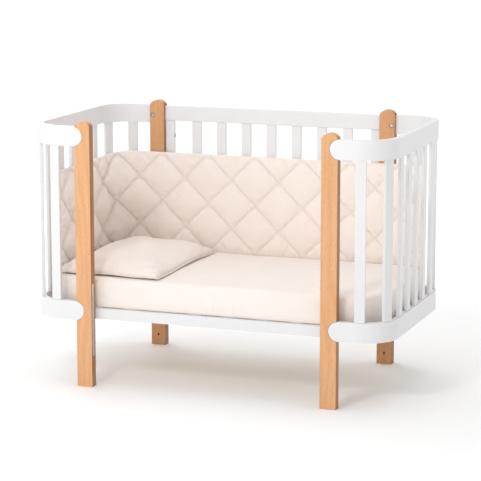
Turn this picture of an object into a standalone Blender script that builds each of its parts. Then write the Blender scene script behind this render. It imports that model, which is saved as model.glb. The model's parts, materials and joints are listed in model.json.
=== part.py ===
"""Baby crib with rounded end panels, set up as a sofa: its front side is off.

Units are metres, +Z is up. X runs along the crib, the front is at -Y.
The origin is on the floor, under the middle of the crib.
"""

import math

import bmesh
import bpy
from mathutils import Matrix, Vector

# Driving sizes of the frame
POST_SPAN = 0.926            # along X, over the outer faces of the posts
END_OVERHANG = 0.177         # how far each rounded end stands out past the posts
OVERALL_DEPTH = 0.692        # along Y, over the posts
POST_HEIGHT = 0.912
POST_WIDTH = 0.0565
POST_DEPTH = 0.031
POST_ARCH_RISE = 0.018
POST_EASING = 0.0018

RAIL_HEIGHT = 0.066
RAIL_THICKNESS = 0.020
RAIL_CORNER_RADIUS = 0.118
RAIL_EASING = 0.0025
UPPER_RAIL_BOTTOM = 0.8273
LOWER_RAIL_BOTTOM = 0.2302
TONGUE_REACH = 0.028         # how far a rail's round tongue enters the post

SLAT_WIDTH = 0.035
SLAT_THICKNESS = 0.012
SLAT_EASING = 0.0018
END_SLAT_COUNT = 9
END_SLAT_MARGIN = 0.0752     # from a post to the middle of the first slat, along the rail
BACK_SLAT_COUNT = 7
BACK_SLAT_MARGIN = 0.1207    # from a post to the middle of the first slat

BACK_RAIL_HEIGHT = 0.053
BACK_RAIL_THICKNESS = 0.020
BACK_TOP_RAIL_TOP = 0.8913
BACK_BOTTOM_RAIL_BOTTOM = 0.236
STILE_WIDTH = 0.033
STILE_THICKNESS = 0.018

# Driving sizes of the base and the soft goods
BASE_BOTTOM = 0.233
BASE_HEIGHT = 0.036
BASE_CORNER_RADIUS = 0.098
BASE_BOLT_RISE = 0.019       # from the underside of the base to its bolts
BASE_RAIL_THICKNESS = 0.022
BASE_LEDGE_WIDTH = 0.016
MAT_SLAT_COUNT = 9
MAT_SLAT_WIDTH = 0.070
MAT_SLAT_THICKNESS = 0.010
MAT_BATTEN_WIDTH = 0.030
MAT_BATTEN_THICKNESS = 0.010
MAT_BATTEN_PLACE = 0.150     # from the middle to each batten, along Y
LEVEL_STEP = 0.120           # between two heights of the base
LEVEL_COUNT = 3

MATTRESS_THICKNESS = 0.101
MATTRESS_CORNER_RADIUS = 0.120
MATTRESS_EDGE_RADIUS = 0.016
BUMPER_THICKNESS = 0.016
BUMPER_HEIGHT = 0.358
BUMPER_FRONT = -0.190        # Y of its front edge at the left end
BUMPER_END_BEND = math.radians(40)  # how far it turns into the right-hand corner
BUMPER_OVERLAP = 0.004       # how far it reaches down beside the mattress
BUMPER_EASING = 0.005
PILLOW_WIDTH = 0.380          # along X
PILLOW_THICKNESS = 0.076
PILLOW_END_MARGIN = 0.0280   # from the pillow to the bumper at the left end
PILLOW_BACK_MARGIN = 0.0295  # from the pillow to the bumper at the back
PILLOW_FRONT_MARGIN = 0.030  # from the pillow to the mattress's front

# Driving sizes of the fasteners and fittings
TONGUE_BOLT_PLACE = 0.0129   # from the post's outer face to the bolt
TONGUE_BOLT_DROP = 0.003     # below the middle of the tongue
TONGUE_BOLT_BITE = 0.012     # how deep the bolt enters the tongue
COUNTERBORE_RADIUS = 0.008
COUNTERBORE_DEPTH = 0.004
SHANK_RADIUS = 0.003
HEAD_RADIUS = 0.0065
HEAD_THICKNESS = 0.0032
SOCKET_RADIUS = 0.0026
SOCKET_DEPTH = 0.0018
STILE_BOLT_HEIGHTS = (0.783, 0.3655)
STILE_BOLT_BITE = 0.012
LEVEL_HOLE_RADIUS = 0.004
LEVEL_HOLE_DEPTH = 0.009
BASE_SHANK_RADIUS = 0.0038
SLEEVE_RADIUS = 0.0085
BASE_HEAD_RADIUS = 0.0085
BASE_HEAD_THICKNESS = 0.004
FOOT_HOLE_HEIGHT = 0.0395
FOOT_HOLE_RADIUS = 0.004
FOOT_HOLE_DEPTH = 0.018
SIDE_FEATURE_PLACE = 0.0130  # from a front post's front face to the middle of its grooves
GROOVE_WIDTH = 0.010
GROOVE_DEPTH = 0.008
GROOVE_BOTTOM = 0.4256
GROOVE_TOP = 0.660
SIDE_HOLES = ((0.783, 0.0035), (0.383, 0.003), (0.3655, 0.003))
SIDE_HOLE_DEPTH = 0.012
GUIDE_BOTTOM = 0.108
GUIDE_TOP = 0.359
GUIDE_WIDTH = 0.012
GUIDE_DEPTH = 0.010
GUIDE_SLOT_WIDTH = 0.005
GUIDE_SLOT_DEPTH = 0.006
GUIDE_SLOT_TOP = 0.3206
GUIDE_SLOT_MARGIN = 0.006

# Clearances and fineness
GAP = 0.0003                 # between two pieces that touch
TONGUE_CLEARANCE = 0.0006    # between a tongue and its pocket, in the face of the post
HOLE_CLEARANCE = 0.0004      # between a shank and its hole, all round
BASE_CLEARANCE = 0.005       # from the base frame to the posts
BASE_END_CLEARANCE = 0.008   # from the base frame to the end rails
MAT_END_CLEARANCE = 0.0045   # from the slat mat to the base frame
BUMPER_CLEARANCE = 0.0010    # from the bumper to the posts
BUMPER_END_CLEARANCE = 0.0015
MATTRESS_CLEARANCE = 0.0015  # from the mattress to the bumper
CUTTER_OVERSHOOT = 0.010
ARC_STEP = math.radians(6)
ROUND_SIDES = 14
EASING_STEPS = 3

# Sizes that follow from the driving ones
HALF_SPAN = POST_SPAN / 2
HALF_LENGTH = HALF_SPAN + END_OVERHANG
HALF_DEPTH = OVERALL_DEPTH / 2
POST_INNER_X = HALF_SPAN - POST_WIDTH
POST_INNER_Y = HALF_DEPTH - POST_DEPTH
TONGUE_TIP = HALF_SPAN - TONGUE_REACH
BUMPER_OUTER_X = HALF_LENGTH - RAIL_THICKNESS - BUMPER_END_CLEARANCE
BUMPER_OUTER_Y = POST_INNER_Y - BUMPER_CLEARANCE
BUMPER_CORNER_RADIUS = BUMPER_OUTER_Y - (HALF_DEPTH - RAIL_CORNER_RADIUS)
MATTRESS_HALF_X = BUMPER_OUTER_X - BUMPER_THICKNESS - MATTRESS_CLEARANCE
MATTRESS_HALF_Y = BUMPER_OUTER_Y - BUMPER_THICKNESS - MATTRESS_CLEARANCE
BASE_TOP = BASE_BOTTOM + BASE_HEIGHT
BASE_HALF_X = HALF_LENGTH - RAIL_THICKNESS - BASE_END_CLEARANCE
BASE_HALF_Y = POST_INNER_Y - BASE_CLEARANCE
BASE_BOLT_HEIGHT = BASE_BOTTOM + BASE_BOLT_RISE
MATTRESS_TOP = BASE_TOP + GAP + MATTRESS_THICKNESS
PILLOW_LOW_Y = PILLOW_FRONT_MARGIN - MATTRESS_HALF_Y
PILLOW_HIGH_Y = BUMPER_OUTER_Y - BUMPER_THICKNESS - PILLOW_BACK_MARGIN
PILLOW_LENGTH = PILLOW_HIGH_Y - PILLOW_LOW_Y
PILLOW_PLACE = (
    BUMPER_THICKNESS + PILLOW_END_MARGIN + PILLOW_WIDTH / 2 - BUMPER_OUTER_X,
    (PILLOW_LOW_Y + PILLOW_HIGH_Y) / 2,
)
PANEL_MIDDLE_Y = HALF_DEPTH - BACK_RAIL_THICKNESS / 2
POST_PLACE_X = HALF_SPAN - POST_WIDTH / 2
POST_PLACE_Y = HALF_DEPTH - POST_DEPTH / 2
SIDES = (("left", -1), ("right", 1))
DEPTHS = (("front", -1), ("back", 1))


def clear_scene():
    for obj in list(bpy.data.objects):
        bpy.data.objects.remove(obj, do_unlink=True)


def make_material(name, color, roughness, metallic=0.0):
    material = bpy.data.materials.new(name)
    material.use_nodes = True
    shader = material.node_tree.nodes["Principled BSDF"]
    shader.inputs["Base Color"].default_value = (*color, 1.0)
    shader.inputs["Roughness"].default_value = roughness
    shader.inputs["Metallic"].default_value = metallic
    material.diffuse_color = (*color, 1.0)
    return material


def make_empty(name, location, parent=None):
    empty = bpy.data.objects.new(name, None)
    bpy.context.scene.collection.objects.link(empty)
    empty.parent = parent
    empty.location = Vector(location) - world_place(parent)
    return empty


def world_place(parent):
    place = Vector((0.0, 0.0, 0.0))
    while parent is not None:
        place += parent.location
        parent = parent.parent
    return place


def mesh_from(bm, name):
    bmesh.ops.recalc_face_normals(bm, faces=bm.faces)
    mesh = bpy.data.meshes.new(name)
    bm.to_mesh(mesh)
    bm.free()
    mesh.shade_smooth()
    mesh.set_sharp_from_angle(angle=math.radians(30))
    return mesh


def add_part(name, mesh, material, location=(0, 0, 0), turn=0.0, parent=None):
    part = bpy.data.objects.new(name, mesh)
    bpy.context.scene.collection.objects.link(part)
    if not mesh.materials:
        mesh.materials.append(material)
    part.parent = parent
    part.location = Vector(location) - world_place(parent)
    part.rotation_euler[2] = turn
    return part


def cut(part, bm, name, operation="DIFFERENCE"):
    """Applies a helper mesh, given in world coordinates, to a part."""
    bmesh.ops.recalc_face_normals(bm, faces=bm.faces)
    mesh = bpy.data.meshes.new(name)
    bm.to_mesh(mesh)
    bm.free()
    helper = bpy.data.objects.new(name, mesh)
    bpy.context.scene.collection.objects.link(helper)
    helper.hide_render = True
    helper.display_type = "WIRE"
    modifier = part.modifiers.new(name, "BOOLEAN")
    modifier.operation = operation
    modifier.object = helper


def ease_edges(bm, width, segments=2, least_angle=40):
    """Rounds every edge whose faces meet at more than the least angle, in degrees."""
    sharp = [
        edge for edge in bm.edges
        if edge.is_manifold and edge.calc_face_angle() > math.radians(least_angle)
    ]
    bmesh.ops.bevel(
        bm, geom=sharp, offset=width, segments=segments, profile=0.5,
        affect="EDGES", clamp_overlap=True,
    )


def add_box(bm, low, high):
    corners = [(low[i], high[i]) for i in range(3)]
    verts = [
        bm.verts.new((corners[0][i], corners[1][j], corners[2][k]))
        for i in (0, 1) for j in (0, 1) for k in (0, 1)
    ]
    for quad in ((0, 1, 3, 2), (4, 6, 7, 5), (0, 4, 5, 1), (2, 3, 7, 6), (0, 2, 6, 4), (1, 5, 7, 3)):
        bm.faces.new([verts[i] for i in quad])


def add_prism(bm, outline, to_space, start, end):
    """Extrudes a flat outline from start to end; to_space turns (a, b, along) into a point."""
    rings = [[bm.verts.new(to_space(a, b, along)) for a, b in outline] for along in (start, end)]
    bm.faces.new(rings[0])
    bm.faces.new(rings[1])
    count = len(outline)
    for i in range(count):
        j = (i + 1) % count
        bm.faces.new((rings[0][i], rings[0][j], rings[1][j], rings[1][i]))


def add_turned(bm, profile, start, direction):
    """Turns (distance along the axis, radius) points round an axis from start along direction."""
    axis = Vector(direction).normalized()
    frame = Matrix.Translation(start) @ axis.to_track_quat("Z", "Y").to_matrix().to_4x4()
    rings = []
    for along, radius in profile:
        if radius == 0:
            rings.append([bm.verts.new(frame @ Vector((0, 0, along)))])
            continue
        ring = []
        for i in range(ROUND_SIDES):
            angle = 2 * math.pi * i / ROUND_SIDES
            ring.append(bm.verts.new(frame @ Vector((
                radius * math.cos(angle), radius * math.sin(angle), along))))
        rings.append(ring)
    for first, second in zip(rings, rings[1:]):
        for i in range(ROUND_SIDES):
            j = (i + 1) % ROUND_SIDES
            corners = [first[i % len(first)], first[j % len(first)]]
            corners += [second[j % len(second)], second[i % len(second)]]
            bm.faces.new(list(dict.fromkeys(corners)))


def hole_profile(radius, depth):
    return [(-CUTTER_OVERSHOOT, 0), (-CUTTER_OVERSHOOT, radius), (depth, radius), (depth, 0)]


def bolt_profile(length, shank_radius, head_radius, head_thickness, sleeve=None):
    """A bolt from its tip at 0 to its socket head; sleeve is (length, radius) from the tip."""
    profile = [(0, 0), (0, shank_radius)]
    if sleeve:
        profile = [(0, 0), (0, sleeve[1]), (sleeve[0], sleeve[1]), (sleeve[0], shank_radius)]
    profile += [(length, shank_radius), (length, head_radius)]
    top = length + head_thickness
    profile += [(top - 0.001, head_radius), (top, head_radius - 0.001)]
    profile += [(top, SOCKET_RADIUS), (top - SOCKET_DEPTH, SOCKET_RADIUS), (top - SOCKET_DEPTH, 0)]
    return profile


def arc_count(angle):
    return max(2, round(abs(angle) / ARC_STEP))


class Route:
    """A flat route of straight runs and arcs; a turn to the left is a positive angle."""

    def __init__(self, start, heading, pieces):
        self.spans = []
        self.stations = [0.0]
        x, y = start
        place = 0.0
        for piece in pieces:
            if piece[0] == "run":
                length = piece[1]
                self.spans.append((place, x, y, heading, 0.0))
                x += length * math.cos(heading)
                y += length * math.sin(heading)
                steps = 1
            else:
                radius, angle = piece[1:]
                length = radius * abs(angle)
                bend = math.copysign(1 / radius, angle)
                self.spans.append((place, x, y, heading, bend))
                x += (math.sin(heading + angle) - math.sin(heading)) / bend
                y -= (math.cos(heading + angle) - math.cos(heading)) / bend
                heading += angle
                steps = arc_count(angle)
            self.stations += [place + length * (i + 1) / steps for i in range(steps)]
            place += length
        self.length = place

    def at(self, place):
        """Position and heading at a distance along the route."""
        span = [s for s in self.spans if s[0] <= place + 1e-9][-1]
        start, x, y, heading, bend = span
        along = place - start
        if bend == 0:
            return x + along * math.cos(heading), y + along * math.sin(heading), heading
        turned = heading + along * bend
        x += (math.sin(turned) - math.sin(heading)) / bend
        y -= (math.cos(turned) - math.cos(heading)) / bend
        return x, y, turned


def bent_plank(route, edges, thickness, easing, mirror):
    """A plank bent along a route. edges is a list of (place, bottom, top) along the route."""
    bm = bmesh.new()
    strips = []
    for place, bottom, top in edges:
        heights = (bottom,) if bottom == top else (bottom, top)
        strips.append([[bm.verts.new((place, side * thickness / 2, z)) for z in heights] for side in (-1, 1)])
    for before, after in zip(strips, strips[1:]):
        for side in (0, 1):
            a, b = before[side], after[side]
            bm.faces.new(list(dict.fromkeys((a[0], b[0], b[-1], a[-1]))))
        for end in (0, -1):
            bm.faces.new((before[0][end], after[0][end], after[1][end], before[1][end]))
    for strip in (strips[0], strips[-1]):
        if len(strip[0]) == 2:
            bm.faces.new((strip[0][0], strip[0][1], strip[1][1], strip[1][0]))
    bmesh.ops.recalc_face_normals(bm, faces=bm.faces)
    ease_edges(bm, easing)
    for vert in bm.verts:
        x, y, heading = route.at(min(max(vert.co.x, 0.0), route.length))
        offset = vert.co.y
        x -= offset * math.sin(heading)
        y += offset * math.cos(heading)
        vert.co = (-x if mirror else x, y, vert.co.z)
    return bm


def end_route():
    """Middle line of a right end rail, from the front tongue's tip to the back one's."""
    middle_y = HALF_DEPTH - RAIL_THICKNESS / 2
    radius = RAIL_CORNER_RADIUS - RAIL_THICKNESS / 2
    run = HALF_LENGTH - RAIL_CORNER_RADIUS - TONGUE_TIP
    across = 2 * (HALF_DEPTH - RAIL_CORNER_RADIUS)
    quarter = math.pi / 2
    pieces = [("run", run), ("arc", radius, quarter), ("run", across), ("arc", radius, quarter), ("run", run)]
    return Route((TONGUE_TIP, -middle_y), 0.0, pieces)


def bumper_route():
    """Middle line of the bumper, from its front edge at the left to its end in the right-hand corner."""
    x = BUMPER_OUTER_X - BUMPER_THICKNESS / 2
    radius = BUMPER_CORNER_RADIUS - BUMPER_THICKNESS / 2
    corner_y = BUMPER_OUTER_Y - BUMPER_CORNER_RADIUS
    side_run = corner_y - BUMPER_FRONT
    back_run = 2 * (BUMPER_OUTER_X - BUMPER_CORNER_RADIUS)
    pieces = [("run", side_run), ("arc", radius, -math.pi / 2), ("run", back_run)]
    pieces.append(("arc", radius, -BUMPER_END_BEND))
    return Route((-x, BUMPER_FRONT), math.pi / 2, pieces)


def tongue_outline(radius, overshoot):
    """Outline in (distance from the tip, height from the middle) of a tongue's pocket."""
    steps = arc_count(math.pi)
    points = []
    for i in range(steps + 1):
        angle = math.pi / 2 + math.pi * i / steps
        points.append((radius + radius * math.cos(angle), radius * math.sin(angle)))
    mouth = max(TONGUE_REACH, radius) + overshoot
    points += [(mouth, -radius), (mouth, radius)]
    return points


def rail_edges(route, bottom):
    """(place, bottom, top) of an end rail: round tongues at both ends, straight between."""
    radius = RAIL_HEIGHT / 2
    middle = bottom + radius
    half = arc_count(math.pi) // 2
    round_end = []
    for i in range(half):
        angle = math.pi / 2 * i / half
        height = radius * math.sin(angle)
        round_end.append((radius - radius * math.cos(angle), middle - height, middle + height))
    edges = list(round_end)
    inside = [s for s in route.stations if radius < s < route.length - radius]
    edges += [(s, bottom, bottom + RAIL_HEIGHT) for s in [radius, *inside, route.length - radius]]
    edges += [(route.length - s, low, high) for s, low, high in reversed(round_end)]
    return edges


def eased_section(width, thickness, easing):
    """Outline of a board's cross section with its four corners rounded."""
    points = []
    for quarter, (sign_x, sign_y) in enumerate(((1, 1), (-1, 1), (-1, -1), (1, -1))):
        for i in range(EASING_STEPS + 1):
            angle = math.pi / 2 * (quarter + i / EASING_STEPS)
            x = sign_x * (width / 2 - easing) + easing * math.cos(angle)
            y = sign_y * (thickness / 2 - easing) + easing * math.sin(angle)
            points.append((x, y))
    return points


def upright_mesh(name, width, thickness, height, easing):
    """An upright board that starts at Z = 0; its width runs along X."""
    bm = bmesh.new()
    outline = eased_section(width, thickness, easing)
    add_prism(bm, outline, lambda a, b, along: (a, b, along), 0, height)
    return mesh_from(bm, name)


def level_mesh(name, width, thickness, length, easing):
    """A level board along X, standing on edge from Z = 0."""
    bm = bmesh.new()
    outline = eased_section(thickness, width, easing)
    add_prism(bm, outline, lambda a, b, along: (along, a, b + width / 2), -length / 2, length / 2)
    return mesh_from(bm, name)


def post_mesh():
    """A post with an arched top, its origin at the middle of its foot."""
    half = POST_WIDTH / 2
    radius = (half ** 2 + POST_ARCH_RISE ** 2) / (2 * POST_ARCH_RISE)
    spread = math.asin(half / radius)
    steps = 2 * (arc_count(spread) // 2 + 2)
    outline = [(-half, 0), (half, 0)]
    for i in range(steps + 1):
        angle = spread - 2 * spread * i / steps
        outline.append((radius * math.sin(angle), POST_HEIGHT - radius + radius * math.cos(angle)))
    bm = bmesh.new()
    add_prism(bm, outline, lambda a, b, along: (a, along, b), -POST_DEPTH / 2, POST_DEPTH / 2)
    bmesh.ops.recalc_face_normals(bm, faces=bm.faces)
    ease_edges(bm, POST_EASING)
    return mesh_from(bm, "post")


def tongue_bolt_heights():
    return [bottom + RAIL_HEIGHT / 2 - TONGUE_BOLT_DROP for bottom in (UPPER_RAIL_BOTTOM, LOWER_RAIL_BOTTOM)]


def level_heights():
    return [BASE_BOLT_HEIGHT + LEVEL_STEP * i for i in range(LEVEL_COUNT)]


def cut_tongue_pockets(post, side, depth):
    bm = bmesh.new()
    outline = tongue_outline(RAIL_HEIGHT / 2 + TONGUE_CLEARANCE, CUTTER_OVERSHOOT)
    for bottom in (UPPER_RAIL_BOTTOM, LOWER_RAIL_BOTTOM):
        middle = bottom + RAIL_HEIGHT / 2

        def to_space(a, b, along, middle=middle):
            return side * (TONGUE_TIP - TONGUE_CLEARANCE + a), depth * along, middle + b

        add_prism(bm, outline, to_space, HALF_DEPTH - RAIL_THICKNESS - GAP, HALF_DEPTH + CUTTER_OVERSHOOT)
    cut(post, bm, post.name + "_pocket_cutter")


def cut_post_holes(post, side, depth):
    bm = bmesh.new()
    bolt_x = side * (HALF_SPAN - TONGUE_BOLT_PLACE)
    wall = POST_DEPTH - RAIL_THICKNESS
    radius = SHANK_RADIUS + HOLE_CLEARANCE
    stepped = [
        (-CUTTER_OVERSHOOT, 0), (-CUTTER_OVERSHOOT, COUNTERBORE_RADIUS),
        (COUNTERBORE_DEPTH, COUNTERBORE_RADIUS), (COUNTERBORE_DEPTH, radius),
        (wall + GAP, radius), (wall + GAP, 0),
    ]
    inner_y = depth * POST_INNER_Y
    for height in tongue_bolt_heights():
        add_turned(bm, stepped, (bolt_x, inner_y, height), (0, depth, 0))
    for height in level_heights():
        place = (side * POST_PLACE_X, inner_y, height)
        add_turned(bm, hole_profile(LEVEL_HOLE_RADIUS, LEVEL_HOLE_DEPTH), place, (0, depth, 0))
    place = (side * POST_PLACE_X, inner_y, FOOT_HOLE_HEIGHT)
    add_turned(bm, hole_profile(FOOT_HOLE_RADIUS, FOOT_HOLE_DEPTH), place, (0, depth, 0))
    if depth > 0:
        holes = [(height, radius) for height in STILE_BOLT_HEIGHTS]
        hole_y = PANEL_MIDDLE_Y
        hole_depth = STILE_BOLT_BITE + GAP
    else:
        holes = SIDE_HOLES
        hole_y = -HALF_DEPTH + SIDE_FEATURE_PLACE
        hole_depth = SIDE_HOLE_DEPTH
    for height, hole_radius in holes:
        place = (side * POST_INNER_X, hole_y, height)
        add_turned(bm, hole_profile(hole_radius, hole_depth), place, (side, 0, 0))
    cut(post, bm, post.name + "_hole_cutter")


def slot_outline(bottom, top, width):
    """Outline in (across, height) of an upright slot with round ends."""
    radius = width / 2
    steps = ROUND_SIDES // 2
    points = []
    for low, start in ((top - radius, 0), (bottom + radius, math.pi)):
        for i in range(steps + 1):
            angle = start + math.pi * i / steps
            points.append((radius * math.cos(angle), low + radius * math.sin(angle)))
    return points


def cut_front_post_grooves(post, side):
    middle_y = -HALF_DEPTH + SIDE_FEATURE_PLACE

    def to_space(a, b, along):
        return side * along, middle_y + a, b

    bm = bmesh.new()
    start = POST_INNER_X - CUTTER_OVERSHOOT
    groove = slot_outline(GROOVE_BOTTOM, GROOVE_TOP, GROOVE_WIDTH)
    add_prism(bm, groove, to_space, start, POST_INNER_X + GROOVE_DEPTH)
    pocket = slot_outline(GUIDE_BOTTOM - GAP, GUIDE_TOP + GAP, GUIDE_WIDTH + 2 * GAP)
    add_prism(bm, pocket, to_space, start, POST_INNER_X + GUIDE_DEPTH + GAP)
    cut(post, bm, post.name + "_groove_cutter")


def make_posts(beech):
    mesh = post_mesh()
    for depth_name, depth in DEPTHS:
        for side_name, side in SIDES:
            place = (side * POST_PLACE_X, depth * POST_PLACE_Y, 0)
            post = add_part(f"post_{depth_name}_{side_name}", mesh, beech, place)
            cut_tongue_pockets(post, side, depth)
            cut_post_holes(post, side, depth)
            if depth < 0:
                cut_front_post_grooves(post, side)


def make_guides(plastic):
    middle_y = -HALF_DEPTH + SIDE_FEATURE_PLACE
    for side_name, side in SIDES:

        def to_space(a, b, along, side=side):
            return side * along, middle_y + a, b

        bm = bmesh.new()
        outline = slot_outline(GUIDE_BOTTOM, GUIDE_TOP, GUIDE_WIDTH)
        add_prism(bm, outline, to_space, POST_INNER_X, POST_INNER_X + GUIDE_DEPTH)
        guide = add_part(f"guide_strip_{side_name}", mesh_from(bm, "guide_strip"), plastic)
        slot = bmesh.new()
        outline = slot_outline(GUIDE_BOTTOM + GUIDE_SLOT_MARGIN, GUIDE_SLOT_TOP, GUIDE_SLOT_WIDTH)
        add_prism(slot, outline, to_space, POST_INNER_X - CUTTER_OVERSHOOT, POST_INNER_X + GUIDE_SLOT_DEPTH)
        cut(guide, slot, guide.name + "_slot_cutter")


def make_end_rails(paint):
    route = end_route()
    bolt_radius = SHANK_RADIUS + HOLE_CLEARANCE
    inner_y = HALF_DEPTH - RAIL_THICKNESS
    for level, bottom in (("upper", UPPER_RAIL_BOTTOM), ("lower", LOWER_RAIL_BOTTOM)):
        for side_name, side in SIDES:
            edges = rail_edges(route, bottom)
            bm = bent_plank(route, edges, RAIL_THICKNESS, RAIL_EASING, side < 0)
            name = f"{level}_rail_{side_name}"
            rail = add_part(name, mesh_from(bm, name), paint)
            holes = bmesh.new()
            height = bottom + RAIL_HEIGHT / 2 - TONGUE_BOLT_DROP
            for _, depth in DEPTHS:
                place = (side * (HALF_SPAN - TONGUE_BOLT_PLACE), depth * inner_y, height)
                profile = hole_profile(bolt_radius, TONGUE_BOLT_BITE + GAP)
                add_turned(holes, profile, place, (0, depth, 0))
            cut(rail, holes, name + "_hole_cutter")


def make_end_slats(paint):
    route = end_route()
    first = TONGUE_REACH + END_SLAT_MARGIN
    pitch = (route.length - 2 * first) / (END_SLAT_COUNT - 1)
    bottom = LOWER_RAIL_BOTTOM + RAIL_HEIGHT + GAP
    height = UPPER_RAIL_BOTTOM - GAP - bottom
    mesh = upright_mesh("end_slat", SLAT_WIDTH, SLAT_THICKNESS, height, SLAT_EASING)
    for side_name, side in SIDES:
        for i in range(END_SLAT_COUNT):
            x, y, heading = route.at(first + pitch * i)
            turn = heading if side > 0 else math.pi - heading
            add_part(f"end_slat_{side_name}_{i + 1}", mesh, paint, (side * x, y, bottom), turn)


def make_back_panel(paint):
    rail_length = 2 * (POST_INNER_X - GAP)
    rail_mesh = level_mesh("back_rail", BACK_RAIL_HEIGHT, BACK_RAIL_THICKNESS, rail_length, RAIL_EASING)
    top_bottom = BACK_TOP_RAIL_TOP - BACK_RAIL_HEIGHT
    add_part("back_top_rail", rail_mesh, paint, (0, PANEL_MIDDLE_Y, top_bottom))
    add_part("back_bottom_rail", rail_mesh, paint, (0, PANEL_MIDDLE_Y, BACK_BOTTOM_RAIL_BOTTOM))
    bottom = BACK_BOTTOM_RAIL_BOTTOM + BACK_RAIL_HEIGHT + GAP
    height = top_bottom - GAP - bottom
    slat_mesh = upright_mesh("back_slat", SLAT_WIDTH, SLAT_THICKNESS, height, SLAT_EASING)
    first = -POST_INNER_X + BACK_SLAT_MARGIN
    pitch = -2 * first / (BACK_SLAT_COUNT - 1)
    for i in range(BACK_SLAT_COUNT):
        add_part(f"back_slat_{i + 1}", slat_mesh, paint, (first + pitch * i, PANEL_MIDDLE_Y, bottom))
    stile_mesh = upright_mesh("back_stile", STILE_WIDTH, STILE_THICKNESS, height, SLAT_EASING)
    for side_name, side in SIDES:
        x = side * (POST_INNER_X - GAP - STILE_WIDTH / 2)
        stile = add_part(f"back_stile_{side_name}", stile_mesh, paint, (x, PANEL_MIDDLE_Y, bottom))
        holes = bmesh.new()
        profile = hole_profile(SHANK_RADIUS + HOLE_CLEARANCE, STILE_WIDTH + CUTTER_OVERSHOOT)
        for bolt_height in STILE_BOLT_HEIGHTS:
            place = (side * (POST_INNER_X - GAP - STILE_WIDTH), PANEL_MIDDLE_Y, bolt_height)
            add_turned(holes, profile, place, (side, 0, 0))
        cut(stile, holes, stile.name + "_hole_cutter")


def make_bolt(name, profile, tip, direction, steel, parent=None):
    """A bolt whose head points along direction from its tip."""
    bm = bmesh.new()
    add_turned(bm, profile, (0, 0, 0), direction)
    return add_part(name, mesh_from(bm, name), steel, tip, parent=parent)


def make_frame_bolts(steel):
    wall = POST_DEPTH - RAIL_THICKNESS - COUNTERBORE_DEPTH
    length = TONGUE_BOLT_BITE + wall + GAP
    profile = bolt_profile(length, SHANK_RADIUS, HEAD_RADIUS, HEAD_THICKNESS)
    tip_y = HALF_DEPTH - RAIL_THICKNESS + TONGUE_BOLT_BITE
    for level, height in zip(("upper", "lower"), tongue_bolt_heights()):
        for depth_name, depth in DEPTHS:
            for side_name, side in SIDES:
                tip = (side * (HALF_SPAN - TONGUE_BOLT_PLACE), depth * tip_y, height)
                name = f"tongue_bolt_{level}_{depth_name}_{side_name}"
                make_bolt(name, profile, tip, (0, -depth, 0), steel)
    length = STILE_BOLT_BITE + STILE_WIDTH + 2 * GAP
    profile = bolt_profile(length, SHANK_RADIUS, HEAD_RADIUS, HEAD_THICKNESS)
    for level, height in zip(("upper", "lower"), STILE_BOLT_HEIGHTS):
        for side_name, side in SIDES:
            tip = (side * (POST_INNER_X + STILE_BOLT_BITE), PANEL_MIDDLE_Y, height)
            make_bolt(f"stile_bolt_{level}_{side_name}", profile, tip, (-side, 0, 0), steel)


def rounded_outline(half_x, half_y, radius):
    """A rectangle with round corners, anticlockwise."""
    steps = arc_count(math.pi / 2)
    points = []
    for quarter, (sign_x, sign_y) in enumerate(((1, 1), (-1, 1), (-1, -1), (1, -1))):
        for i in range(steps + 1):
            angle = math.pi / 2 * (quarter + i / steps)
            x = sign_x * (half_x - radius) + radius * math.cos(angle)
            y = sign_y * (half_y - radius) + radius * math.sin(angle)
            points.append((x, y))
    return points


def base_frame_mesh():
    """A ring with an inner ledge that carries the slat mat."""
    wall = BASE_RAIL_THICKNESS
    ledge = wall + BASE_LEDGE_WIDTH
    ledge_height = BASE_HEIGHT - MAT_SLAT_THICKNESS
    section = (
        (0, 0), (0, BASE_HEIGHT), (wall, BASE_HEIGHT),
        (wall, ledge_height), (ledge, ledge_height), (ledge, 0),
    )
    bm = bmesh.new()
    rings = []
    for inset, height in section:
        outline = rounded_outline(
            BASE_HALF_X - inset, BASE_HALF_Y - inset, BASE_CORNER_RADIUS - inset)
        rings.append([bm.verts.new((x, y, height)) for x, y in outline])
    count = len(rings[0])
    for i, ring in enumerate(rings):
        following = rings[(i + 1) % len(rings)]
        for j in range(count):
            k = (j + 1) % count
            bm.faces.new((ring[j], ring[k], following[k], following[j]))
    return mesh_from(bm, "base_frame")


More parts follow.
